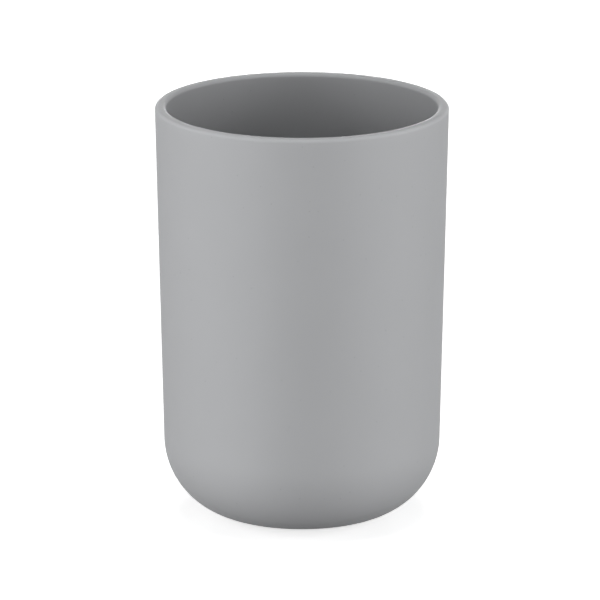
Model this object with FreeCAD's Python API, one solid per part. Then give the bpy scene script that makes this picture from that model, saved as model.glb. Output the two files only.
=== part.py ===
"""Bathroom tumbler: a moulded cup with a rounded base, and a soft non-slip ring in its underside.

Lengths are in millimetres and angles in degrees. +Z is up. The origin is on the cup's axis, on the
surface that the tumbler stands on.
"""

import FreeCAD
import Part

import math
import os

# Cup: overall sizes
height = 103.0
rim_diameter = 72.0
wall = 2.75
floor_thickness = 4.5

# Cup: release angles of the cavity and the core of the mould
outer_draft = 1.4
core_draft = 1.6

# Cup: edges of the lip
lip_outer_edge = 0.9
lip_inner_edge = 0.9

# Cup: foot, and the angle between the base curve and the table at the foot's edge
foot_diameter = 35.0
foot_angle = 9.0
foot_land = 3.6

# Cup: gate mark in the middle of the underside, sunk so that it never touches the table
gate_recess = 0.6
gate_diameter = 2.6
gate_height = 0.3

# Non-slip ring, and the groove in the foot that holds it
ring_width = 4.4
ring_proud = 0.3
ring_edge = 0.4
ring_clearance = 0.05
groove_depth = 1.6
groove_edge = 0.3

# Places worked out from the sizes above
rim_radius = rim_diameter / 2
foot_radius = foot_diameter / 2
foot_level = ring_proud
floor_level = foot_level + floor_thickness
groove_top = foot_level + groove_depth
groove_outer = foot_radius - foot_land
groove_inner = groove_outer - ring_width - 2 * ring_clearance


def point(radius, level):
    """A point of a turned outline, in the XZ plane."""
    return FreeCAD.Vector(radius, 0, level)


def along(angle):
    """Unit step of the outline plane, at that angle above the outward direction."""
    return point(math.cos(math.radians(angle)), math.sin(math.radians(angle)))


def wall_point(lip_radius, draft, level):
    """Where a wall that leans out by draft, and ends at lip_radius at the top, is at that level."""
    return point(lip_radius - (height - level) * math.tan(math.radians(draft)), level)


def rounded(before, corner, after, radius):
    """Arc that rounds the corner between the straight runs from before and on to after."""
    back = (before - corner).normalize()
    ahead = (after - corner).normalize()
    half_angle = back.getAngle(ahead) / 2
    reach = radius / math.tan(half_angle)
    bisector = (back + ahead).normalize()
    nearest = corner + bisector * (radius / math.sin(half_angle) - radius)
    return Part.Arc(corner + back * reach, nearest, corner + ahead * reach)


def base_curve():
    """Arc from the foot's edge up to the outer wall, tangent to the wall, and its radius."""
    foot_edge = point(foot_radius, foot_level)
    into_wall = along(180 - outer_draft)
    depth = (foot_edge - wall_point(rim_radius, outer_draft, foot_level)).dot(into_wall)
    radius = depth / (1 - math.sin(math.radians(foot_angle + outer_draft)))
    centre = foot_edge + along(90 + foot_angle) * radius
    tangent_point = centre - into_wall * radius
    middle = (foot_edge + tangent_point - centre * 2).normalize()
    return Part.Arc(foot_edge, centre + middle * radius, tangent_point), radius


def turned(pieces):
    """Solid turned about Z from a closed outline: points and arcs in order, joined by straight runs."""
    edges = []
    for piece, following in zip(pieces, pieces[1:] + pieces[:1]):
        if isinstance(piece, Part.Arc):
            edges.append(piece.toShape())
        run_start = getattr(piece, "EndPoint", piece)
        run_end = getattr(following, "StartPoint", following)
        edges.append(Part.LineSegment(run_start, run_end).toShape())
    return Part.Face(Part.Wire(edges)).revolve(point(0, 0), FreeCAD.Vector(0, 0, 1), 360)


def make_cup():
    """The one-piece moulding: underside, rounded base, drafted wall, lip and cavity."""
    outer_lip = point(rim_radius, height)
    inner_lip = point(rim_radius - wall, height)
    outer_base, base_radius = base_curve()
    cavity_radius = base_radius - wall
    cavity_corner = wall_point(rim_radius - wall, core_draft, floor_level)
    floor_middle = point(0, floor_level)

    gate_radius = gate_diameter / 2
    hub_level = foot_level + gate_recess
    gate_level = hub_level - gate_height
    hub_corner = point(groove_inner, hub_level)
    groove_ceiling_inner = point(groove_inner, groove_top)
    groove_ceiling_outer = point(groove_outer, groove_top)
    groove_mouth = point(groove_outer, foot_level)

    return turned([
        point(0, gate_level),
        point(gate_radius, gate_level),
        point(gate_radius, hub_level),
        rounded(point(gate_radius, hub_level), hub_corner, groove_ceiling_inner, groove_edge),
        groove_ceiling_inner,
        groove_ceiling_outer,
        rounded(groove_ceiling_outer, groove_mouth, outer_base.StartPoint, groove_edge),
        outer_base,
        rounded(outer_base.EndPoint, outer_lip, inner_lip, lip_outer_edge),
        rounded(outer_lip, inner_lip, cavity_corner, lip_inner_edge),
        rounded(inner_lip, cavity_corner, floor_middle, cavity_radius),
        floor_middle,
    ])


def make_non_slip_ring():
    """Soft ring that fills the groove and stands a little proud of the foot."""
    outer = groove_outer - ring_clearance
    inner = groove_inner + ring_clearance
    top_inner = point(inner, groove_top)
    top_outer = point(outer, groove_top)
    low_outer = point(outer, 0)
    low_inner = point(inner, 0)
    return turned([
        top_inner,
        top_outer,
        rounded(top_outer, low_outer, low_inner, ring_edge),
        rounded(low_outer, low_inner, top_inner, ring_edge),
    ])


os.makedirs("parts", exist_ok=True)
make_cup().exportStep("parts/cup_body.step")
make_non_slip_ring().exportStep("parts/non_slip_ring.step")
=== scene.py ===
import math

import bpy
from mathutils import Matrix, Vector


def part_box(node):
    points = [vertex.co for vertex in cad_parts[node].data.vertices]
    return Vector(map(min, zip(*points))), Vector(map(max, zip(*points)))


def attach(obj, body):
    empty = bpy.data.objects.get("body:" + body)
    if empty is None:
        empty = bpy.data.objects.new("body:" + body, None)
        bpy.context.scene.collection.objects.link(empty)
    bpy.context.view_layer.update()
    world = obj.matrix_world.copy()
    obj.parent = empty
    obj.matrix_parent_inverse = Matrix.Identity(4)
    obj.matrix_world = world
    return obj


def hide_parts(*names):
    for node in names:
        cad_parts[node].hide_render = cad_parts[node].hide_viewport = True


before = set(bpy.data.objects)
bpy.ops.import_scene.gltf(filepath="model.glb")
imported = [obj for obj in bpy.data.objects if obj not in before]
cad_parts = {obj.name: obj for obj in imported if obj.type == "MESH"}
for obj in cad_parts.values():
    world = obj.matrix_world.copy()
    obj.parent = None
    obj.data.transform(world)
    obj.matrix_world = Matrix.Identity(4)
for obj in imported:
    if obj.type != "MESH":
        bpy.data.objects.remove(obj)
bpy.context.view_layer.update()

MM = 0.001

# Colour sockets of a Mix node, which has several of one name
MIX_A = 6
MIX_B = 7
MIX_RESULT = 2

# Attribute that holds the rounding of each corner of a section
ROUNDING = "rounding"

# Cup sizes read from the frame; the smallest half-width keeps the cup inside its solid's box
cup_low, cup_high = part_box("cup_body")
FOOT_LEVEL = cup_low.z
HEIGHT = cup_high.z
WIDEST_RADIUS = min(-cup_low.x, cup_high.x, -cup_low.y, cup_high.y)

# Ring sizes read from the frame
ring_low, ring_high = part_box("non_slip_ring")
RING_LEVEL = ring_low.z
GROOVE_TOP = ring_high.z
RING_OUTER = (ring_high.x - ring_low.x) / 2

# Cup: wall, floor and lip
WALL = 2.75 * MM
FLOOR_THICKNESS = 4.5 * MM
FLOOR_LEVEL = FOOT_LEVEL + FLOOR_THICKNESS
OUTER_DRAFT = math.radians(1.4)
CORE_DRAFT = math.radians(1.6)
LIP_OUTER_EDGE = 0.9 * MM
LIP_INNER_EDGE = 0.9 * MM

# Radius of the wall's top corner, which the lip's rounding takes away
LIP_CORNER_REACH = LIP_OUTER_EDGE * math.tan(math.pi / 4 + OUTER_DRAFT / 2)
RIM_RADIUS = WIDEST_RADIUS + LIP_CORNER_REACH * math.sin(OUTER_DRAFT)

# Cup: foot, groove and gate mark
FOOT_RADIUS = 17.5 * MM
FOOT_ANGLE = math.radians(9.0)
GROOVE_EDGE = 0.3 * MM
GROOVE_ROOT = 0.15 * MM
GATE_RECESS = 0.6 * MM
GATE_HEIGHT = 0.3 * MM
GATE_RADIUS = 1.3 * MM
GATE_EDGE = 0.12 * MM
HUB_LEVEL = FOOT_LEVEL + GATE_RECESS
GATE_LEVEL = HUB_LEVEL - GATE_HEIGHT

# Ring
RING_WIDTH = 4.4 * MM
RING_EDGE = 0.4 * MM
RING_CLEARANCE = 0.05 * MM

# Fineness of the turned meshes
SEGMENTS_ROUND = 160
POINTS_PER_ROUNDING = 18
RING_SPACING = 2.5 * MM
AXLE_RADIUS = 1.0 * MM
WELD_DISTANCE = 0.001 * MM

# Studio floor, in metres: just under the ring, so that the two never share a plane
STUDIO_FLOOR_REACH = 6.0
STUDIO_FLOOR_DROP = 0.05 * MM

# Lamps, in metres from the middle of the cup
LAMP_DISTANCE = 1.0

# Camera: the photograph's viewing angle in degrees, from far off with a long lens
CAMERA_ELEVATION = 14.61
CAMERA_DISTANCE = 2.5
CAMERA_LENS_MM = 610.5
CAMERA_SENSOR_MM = 36.0
CAMERA_AIM_ASIDE = -0.48 * MM
CAMERA_AIM_ABOVE_MIDDLE = 2.25 * MM


def linear(hex_colour):
    """Linear RGBA of an sRGB colour written as six hex digits."""
    channels = [int(hex_colour[i:i + 2], 16) / 255 for i in (0, 2, 4)]
    return [c / 12.92 if c <= 0.04045 else ((c + 0.055) / 1.055) ** 2.4 for c in channels] + [1.0]


def add(tree, kind, inputs=None, **settings):
    """Add a node; inputs maps a socket's name or number to a value, or to the output that feeds it."""
    node = tree.nodes.new(kind)
    for name, value in settings.items():
        setattr(node, name, value)
    for key, value in (inputs or {}).items():
        if isinstance(value, bpy.types.NodeSocket):
            tree.links.new(value, node.inputs[key])
        else:
            node.inputs[key].default_value = value
    return node


def turning_tree():
    """Geometry nodes that round the corners of a flat section and turn it about the Z axis."""
    tree = bpy.data.node_groups.new("turned_section", "GeometryNodeTree")
    sockets = tree.interface
    sockets.new_socket("Geometry", in_out="INPUT", socket_type="NodeSocketGeometry")
    sockets.new_socket("Segments round", in_out="INPUT", socket_type="NodeSocketInt")
    sockets.new_socket("Points per rounding", in_out="INPUT", socket_type="NodeSocketInt")
    sockets.new_socket("Ring spacing", in_out="INPUT", socket_type="NodeSocketFloat")
    sockets.new_socket("Material", in_out="INPUT", socket_type="NodeSocketMaterial")
    sockets.new_socket("Geometry", in_out="OUTPUT", socket_type="NodeSocketGeometry")
    given = add(tree, "NodeGroupInput").outputs

    # Each corner rounded by the radius that its point carries
    outline = add(tree, "GeometryNodeMeshToCurve", {"Mesh": given["Geometry"]})
    rounding = add(tree, "GeometryNodeInputNamedAttribute", {"Name": ROUNDING}, data_type="FLOAT")
    filleted = add(tree, "GeometryNodeFilletCurve", {
        "Curve": outline.outputs["Curve"],
        "Radius": rounding.outputs["Attribute"],
        "Limit Radius": True,
        "Count": given["Points per rounding"],
    }, mode="POLY")

    # Long straight runs cut into lengths of about the ring spacing
    here = add(tree, "GeometryNodeInputPosition")
    following = add(tree, "GeometryNodeOffsetPointInCurve", {"Offset": 1})
    there = add(tree, "GeometryNodeFieldAtIndex", {
        "Index": following.outputs["Point Index"],
        "Value": here.outputs["Position"],
    }, data_type="FLOAT_VECTOR", domain="POINT")
    run = add(tree, "ShaderNodeVectorMath", {
        0: here.outputs["Position"],
        1: there.outputs["Value"],
    }, operation="DISTANCE")
    cuts = add(tree, "ShaderNodeMath", {
        0: run.outputs["Value"],
        1: given["Ring spacing"],
    }, operation="DIVIDE")
    divided = add(tree, "GeometryNodeSubdivideCurve", {
        "Curve": filleted.outputs["Curve"],
        "Cuts": cuts.outputs["Value"],
    })

    # The section carried round a small circle, set back by that circle's radius
    axle = add(tree, "GeometryNodeCurvePrimitiveCircle", {
        "Resolution": given["Segments round"],
        "Radius": AXLE_RADIUS,
    })
    upright = add(tree, "GeometryNodeSetCurveNormal", {"Curve": axle.outputs["Curve"]}, mode="Z_UP")
    section = add(tree, "GeometryNodeTransform", {
        "Geometry": divided.outputs["Curve"],
        "Translation": (-AXLE_RADIUS, 0.0, 0.0),
        "Scale": (1.0, -1.0, 1.0),
    })
    turned = add(tree, "GeometryNodeCurveToMesh", {
        "Curve": upright.outputs["Curve"],
        "Profile Curve": section.outputs["Geometry"],
    })

    # Points that meet on the axis welded, and the faces turned outwards
    welded = add(tree, "GeometryNodeMergeByDistance", {
        "Geometry": turned.outputs["Mesh"],
        "Distance": WELD_DISTANCE,
    })
    outward = add(tree, "GeometryNodeFlipFaces", {"Mesh": welded.outputs["Geometry"]})
    smooth = add(tree, "GeometryNodeSetShadeSmooth", {"Geometry": outward.outputs["Mesh"]})
    plain = add(tree, "GeometryNodeRemoveAttribute", {
        "Geometry": smooth.outputs["Geometry"],
        "Name": ROUNDING,
    })
    realized = add(tree, "GeometryNodeRealizeInstances", {"Geometry": plain.outputs["Geometry"]})
    finished = add(tree, "GeometryNodeSetMaterial", {
        "Geometry": realized.outputs["Geometry"],
        "Material": given["Material"],
    })
    add(tree, "NodeGroupOutput", {"Geometry": finished.outputs["Geometry"]})
    return tree


def section_mesh(name, corners, closed):
    """Edges of a flat outline through (radius, level, rounding) corners."""
    mesh = bpy.data.meshes.new(name)
    edges = [(i, i + 1) for i in range(len(corners) - 1)]
    if closed:
        edges.append((len(corners) - 1, 0))
    mesh.from_pydata([(radius, level, 0.0) for radius, level, _ in corners], edges, [])
    rounding = mesh.attributes.new(ROUNDING, "FLOAT", "POINT")
    rounding.data.foreach_set("value", [corner[2] for corner in corners])
    return mesh


def turned_piece(name, corners, closed, tree, material):
    """Plain mesh object of the section turned about Z."""
    piece = bpy.data.objects.new(name, section_mesh(name, corners, closed))
    bpy.context.scene.collection.objects.link(piece)
    turning = piece.modifiers.new("turning", "NODES")
    turning.node_group = tree
    sizes = {
        "Segments round": SEGMENTS_ROUND,
        "Points per rounding": POINTS_PER_ROUNDING,
        "Ring spacing": RING_SPACING,
        "Material": material,
    }
    for socket in tree.interface.items_tree:
        if socket.in_out == "INPUT" and socket.name in sizes:
            turning[socket.identifier] = sizes[socket.name]
    evaluated = piece.evaluated_get(bpy.context.evaluated_depsgraph_get())
    mesh = bpy.data.meshes.new_from_object(evaluated)
    piece.modifiers.remove(turning)
    piece.data = mesh
    return piece


def cup_section():
    """Corners of the cup's section: out under the base, up the wall and down the cavity."""
    groove_outer = RING_OUTER + RING_CLEARANCE
    groove_inner = RING_OUTER - RING_WIDTH - RING_CLEARANCE
    wall_at_foot = RIM_RADIUS - (HEIGHT - FOOT_LEVEL) * math.tan(OUTER_DRAFT)
    depth = (wall_at_foot - FOOT_RADIUS) * math.cos(OUTER_DRAFT)
    base_radius = depth / (1 - math.sin(FOOT_ANGLE + OUTER_DRAFT))
    swing = math.pi / 2 - FOOT_ANGLE - OUTER_DRAFT
    reach = base_radius * math.tan(swing / 2)
    base_corner_radius = FOOT_RADIUS + reach * math.cos(FOOT_ANGLE)
    base_corner_level = FOOT_LEVEL + reach * math.sin(FOOT_ANGLE)
    cavity_corner = RIM_RADIUS - WALL - (HEIGHT - FLOOR_LEVEL) * math.tan(CORE_DRAFT)
    return [
        (0.0, GATE_LEVEL, 0.0),
        (GATE_RADIUS, GATE_LEVEL, GATE_EDGE),
        (GATE_RADIUS, HUB_LEVEL, GATE_EDGE),
        (groove_inner, HUB_LEVEL, GROOVE_EDGE),
        (groove_inner, GROOVE_TOP, GROOVE_ROOT),
        (groove_outer, GROOVE_TOP, GROOVE_ROOT),
        (groove_outer, FOOT_LEVEL, GROOVE_EDGE),
        (FOOT_RADIUS, FOOT_LEVEL, 0.0),
        (base_corner_radius, base_corner_level, base_radius),
        (RIM_RADIUS, HEIGHT, LIP_OUTER_EDGE),
        (RIM_RADIUS - WALL, HEIGHT, LIP_INNER_EDGE),
        (cavity_corner, FLOOR_LEVEL, base_radius - WALL),
        (0.0, FLOOR_LEVEL, 0.0),
    ]


def ring_section():
    """Corners of the ring's section: nearly square at the top, rounded where it meets the table."""
    inner = RING_OUTER - RING_WIDTH
    return [
        (inner, GROOVE_TOP, GROOVE_ROOT),
        (inner, RING_LEVEL, RING_EDGE),
        (RING_OUTER, RING_LEVEL, RING_EDGE),
        (RING_OUTER, GROOVE_TOP, GROOVE_ROOT),
    ]


def bare_material(name):
    """New material with an empty node tree, and that tree."""
    material = bpy.data.materials.new(name)
    material.use_nodes = True
    material.node_tree.nodes.clear()
    return material, material.node_tree


def satin_moulded_abs():
    """Injection-moulded ABS from a spark-eroded mould: an even grey under a soft broad sheen.

    The mould leaves a fine grain, and hands and tables rub the lip and the foot smoother.
    """
    material, tree = bare_material("satin_moulded_abs")
    place = add(tree, "ShaderNodeTexCoord").outputs["Object"]

    # Pigment clouds, so faint that they only keep the grey from looking dead
    cloud_size = 20 * MM
    clouds = add(tree, "ShaderNodeTexNoise", {"Vector": place, "Scale": 1 / cloud_size, "Detail": 3.0})
    pigment = add(tree, "ShaderNodeMix", {
        "Factor": clouds.outputs["Fac"],
        MIX_A: linear("A9AAAC"),
        MIX_B: linear("ADAEB0"),
    }, data_type="RGBA")

    # Odd specks where the pigment didn't spread, each a dark core with a soft edge
    speck_spacing = 3 * MM
    speck_core_radius = 0.12 * MM
    speck_edge_radius = 0.20 * MM
    cells = add(tree, "ShaderNodeTexVoronoi", {"Vector": place, "Scale": 1 / speck_spacing})
    speck = add(tree, "ShaderNodeMapRange", {
        "Value": cells.outputs["Distance"],
        "From Min": speck_core_radius / speck_spacing,
        "From Max": speck_edge_radius / speck_spacing,
        "To Min": 0.6,
        "To Max": 0.0,
    })
    speckled = add(tree, "ShaderNodeMix", {
        "Factor": speck.outputs["Result"],
        MIX_A: pigment.outputs[MIX_RESULT],
        MIX_B: linear("999A9C"),
    }, data_type="RGBA")

    # Sheen that changes slightly from patch to patch
    patch_size = 4 * MM
    patches = add(tree, "ShaderNodeTexNoise", {"Vector": place, "Scale": 1 / patch_size, "Detail": 2.0})
    sheen = add(tree, "ShaderNodeMapRange", {
        "Value": patches.outputs["Fac"],
        "To Min": 0.70,
        "To Max": 0.78,
    })

    # Rubbed places: roughness taken away towards the lip, and less of it towards the foot
    rub_reach = 2 * MM
    level = add(tree, "ShaderNodeSeparateXYZ", {"Vector": place}).outputs["Z"]
    lip = add(tree, "ShaderNodeMapRange", {
        "Value": level,
        "From Min": HEIGHT - rub_reach,
        "From Max": HEIGHT,
        "To Max": 0.2,
    })
    foot = add(tree, "ShaderNodeMapRange", {
        "Value": level,
        "From Min": FOOT_LEVEL + rub_reach,
        "From Max": FOOT_LEVEL,
        "To Max": 0.1,
    })
    rubbed = add(tree, "ShaderNodeMath", {
        0: lip.outputs["Result"],
        1: foot.outputs["Result"],
    }, operation="MAXIMUM")
    roughness = add(tree, "ShaderNodeMath", {
        0: sheen.outputs["Result"],
        1: rubbed.outputs["Value"],
    }, operation="SUBTRACT")

    # Spark-eroded grain, really about 0.1 mm across and drawn coarser so that it shows
    drawn_grain = 0.4 * MM
    grain_depth = 0.01 * MM
    grain = add(tree, "ShaderNodeTexNoise", {"Vector": place, "Scale": 1 / drawn_grain, "Detail": 2.0})
    relief = add(tree, "ShaderNodeBump", {
        "Height": grain.outputs["Fac"],
        "Strength": 0.5,
        "Distance": grain_depth,
    })

    shader = add(tree, "ShaderNodeBsdfPrincipled", {
        "Base Color": speckled.outputs[MIX_RESULT],
        "Roughness": roughness.outputs["Value"],
        "IOR": 1.53,
        "Specular IOR Level": 0.3,
        "Normal": relief.outputs["Normal"],
    })
    add(tree, "ShaderNodeOutputMaterial", {"Surface": shader.outputs["BSDF"]})
    return material


def moulded_soft_rubber():
    """Compression-moulded soft rubber: dark and matt, with a dusty bloom that dulls it in patches."""
    material, tree = bare_material("moulded_soft_rubber")
    place = add(tree, "ShaderNodeTexCoord").outputs["Object"]

    # Bloom in patches, paler and duller than the bare rubber
    bloom_size = 3 * MM
    bloom = add(tree, "ShaderNodeTexNoise", {"Vector": place, "Scale": 1 / bloom_size, "Detail": 4.0})
    colour = add(tree, "ShaderNodeMix", {
        "Factor": bloom.outputs["Fac"],
        MIX_A: linear("5C5D5F"),
        MIX_B: linear("6A6B6D"),
    }, data_type="RGBA")
    dullness = add(tree, "ShaderNodeMapRange", {
        "Value": bloom.outputs["Fac"],
        "To Min": 0.66,
        "To Max": 0.84,
    })

    # Moulded grain, really about 0.1 mm across and drawn coarser so that it shows
    drawn_grain = 0.25 * MM
    grain_depth = 0.02 * MM
    grain = add(tree, "ShaderNodeTexNoise", {"Vector": place, "Scale": 1 / drawn_grain, "Detail": 2.0})
    relief = add(tree, "ShaderNodeBump", {
        "Height": grain.outputs["Fac"],
        "Strength": 0.6,
        "Distance": grain_depth,
    })

    shader = add(tree, "ShaderNodeBsdfPrincipled", {
        "Base Color": colour.outputs[MIX_RESULT],
        "Roughness": dullness.outputs["Result"],
        "IOR": 1.52,
        "Normal": relief.outputs["Normal"],
    })
    add(tree, "ShaderNodeOutputMaterial", {"Surface": shader.outputs["BSDF"]})
    return material


def seen_directly(tree):
    """Factor that is 1 on rays that show a surface: from the camera, mirrored or through glass."""
    rays = add(tree, "ShaderNodeLightPath").outputs
    mirrored = add(tree, "ShaderNodeMath", {
        0: rays["Is Camera Ray"],
        1: rays["Is Glossy Ray"],
    }, operation="MAXIMUM")
    shown = add(tree, "ShaderNodeMath", {
        0: mirrored.outputs["Value"],
        1: rays["Is Transmission Ray"],
    }, operation="MAXIMUM")
    return shown.outputs["Value"]


def studio_floor_paper():
    """Matt paper: white where it is seen, and a darker grey in the light that it throws back."""
    material, tree = bare_material("studio_floor_paper")
    paper = add(tree, "ShaderNodeBsdfDiffuse", {"Color": linear("F2F2F2")})
    glow = add(tree, "ShaderNodeEmission", {"Color": linear("FFFFFF"), "Strength": 0.65})
    white = add(tree, "ShaderNodeAddShader", {0: paper.outputs["BSDF"], 1: glow.outputs["Emission"]})
    dim = add(tree, "ShaderNodeBsdfDiffuse", {"Color": linear("5A5A5A")})
    mixed = add(tree, "ShaderNodeMixShader", {
        0: seen_directly(tree),
        1: dim.outputs["BSDF"],
        2: white.outputs["Shader"],
    })
    add(tree, "ShaderNodeOutputMaterial", {"Surface": mixed.outputs["Shader"]})
    return material


def make_floor():
    """Wide level floor of pale paper."""
    reach = STUDIO_FLOOR_REACH
    level = -STUDIO_FLOOR_DROP
    corners = [
        (-reach, -reach, level),
        (reach, -reach, level),
        (reach, reach, level),
        (-reach, reach, level),
    ]
    mesh = bpy.data.meshes.new("studio_floor")
    mesh.from_pydata(corners, [], [(0, 1, 2, 3)])
    mesh.materials.append(studio_floor_paper())
    floor = bpy.data.objects.new("studio_floor", mesh)
    bpy.context.scene.collection.objects.link(floor)


def make_world():
    """Even, weak light from all round, and a white surround where it is seen."""
    world = bpy.data.worlds.new("studio_surround")
    world.use_nodes = True
    tree = world.node_tree
    tree.nodes.clear()
    fill = add(tree, "ShaderNodeBackground", {"Color": linear("FFFFFF"), "Strength": 0.03})
    white = add(tree, "ShaderNodeBackground", {"Color": linear("FFFFFF"), "Strength": 1.0})
    mixed = add(tree, "ShaderNodeMixShader", {
        0: seen_directly(tree),
        1: fill.outputs["Background"],
        2: white.outputs["Background"],
    })
    add(tree, "ShaderNodeOutputWorld", {"Surface": mixed.outputs["Shader"]})
    bpy.context.scene.world = world


def direction(azimuth, elevation):
    """Unit vector from the cup, for angles in degrees; azimuth 0 is the camera's side, 90 its right."""
    a = math.radians(azimuth)
    e = math.radians(elevation)
    return Vector((math.sin(a) * math.cos(e), -math.cos(a) * math.cos(e), math.sin(e)))


def softbox(name, azimuth, elevation, width, height, watts):
    """Rectangular lamp aimed at the middle of the cup; width and height are in metres."""
    light = bpy.data.lights.new(name, "AREA")
    light.shape = "RECTANGLE"
    light.size = width
    light.size_y = height
    light.energy = watts
    lamp = bpy.data.objects.new(name, light)
    away = direction(azimuth, elevation)
    lamp.location = Vector((0.0, 0.0, HEIGHT / 2)) + away * LAMP_DISTANCE
    lamp.rotation_euler = away.to_track_quat("Z", "Y").to_euler()
    bpy.context.scene.collection.objects.link(lamp)


def make_lights():
    """Level strips and taller softboxes round the cup, and one softbox overhead."""
    softbox("left_strip", azimuth=-80, elevation=0, width=0.5, height=0.1, watts=2.85)
    softbox("right_strip", azimuth=88, elevation=0, width=0.5, height=0.1, watts=3.15)
    softbox("front_strip", azimuth=-13, elevation=1, width=0.5, height=0.12, watts=2.9)
    softbox("back_strip", azimuth=180, elevation=2, width=0.3, height=0.12, watts=4.5)
    softbox("left_softbox", azimuth=-86, elevation=19, width=0.5, height=0.5, watts=2.85)
    softbox("right_softbox", azimuth=88, elevation=14, width=0.5, height=0.5, watts=3.2)
    softbox("front_softbox", azimuth=0, elevation=10, width=1.0, height=0.5, watts=4.0)
    softbox("top_softbox", azimuth=0, elevation=90, width=0.6, height=0.6, watts=4.35)


def make_camera():
    """Long-lens camera in front of the cup, at the photograph's viewing angle."""
    data = bpy.data.cameras.new("photo_camera")
    data.lens = CAMERA_LENS_MM
    data.sensor_width = CAMERA_SENSOR_MM
    camera = bpy.data.objects.new("photo_camera", data)
    aim = Vector((CAMERA_AIM_ASIDE, 0.0, HEIGHT / 2 + CAMERA_AIM_ABOVE_MIDDLE))
    away = direction(0, CAMERA_ELEVATION)
    camera.location = aim + away * CAMERA_DISTANCE
    camera.rotation_euler = away.to_track_quat("Z", "Y").to_euler()
    bpy.context.scene.collection.objects.link(camera)
    bpy.context.scene.camera = camera


def make_tumbler():
    """The cup and the ring, each in place of its solid."""
    tree = turning_tree()
    cup = turned_piece("tumbler_cup", cup_section(), False, tree, satin_moulded_abs())
    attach(cup, "root")
    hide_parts("cup_body")
    ring = turned_piece("tumbler_ring", ring_section(), True, tree, moulded_soft_rubber())
    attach(ring, "root")
    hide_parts("non_slip_ring")


make_tumbler()
make_floor()
make_world()
make_lights()
make_camera()
bpy.context.scene.view_settings.view_transform = "Standard"
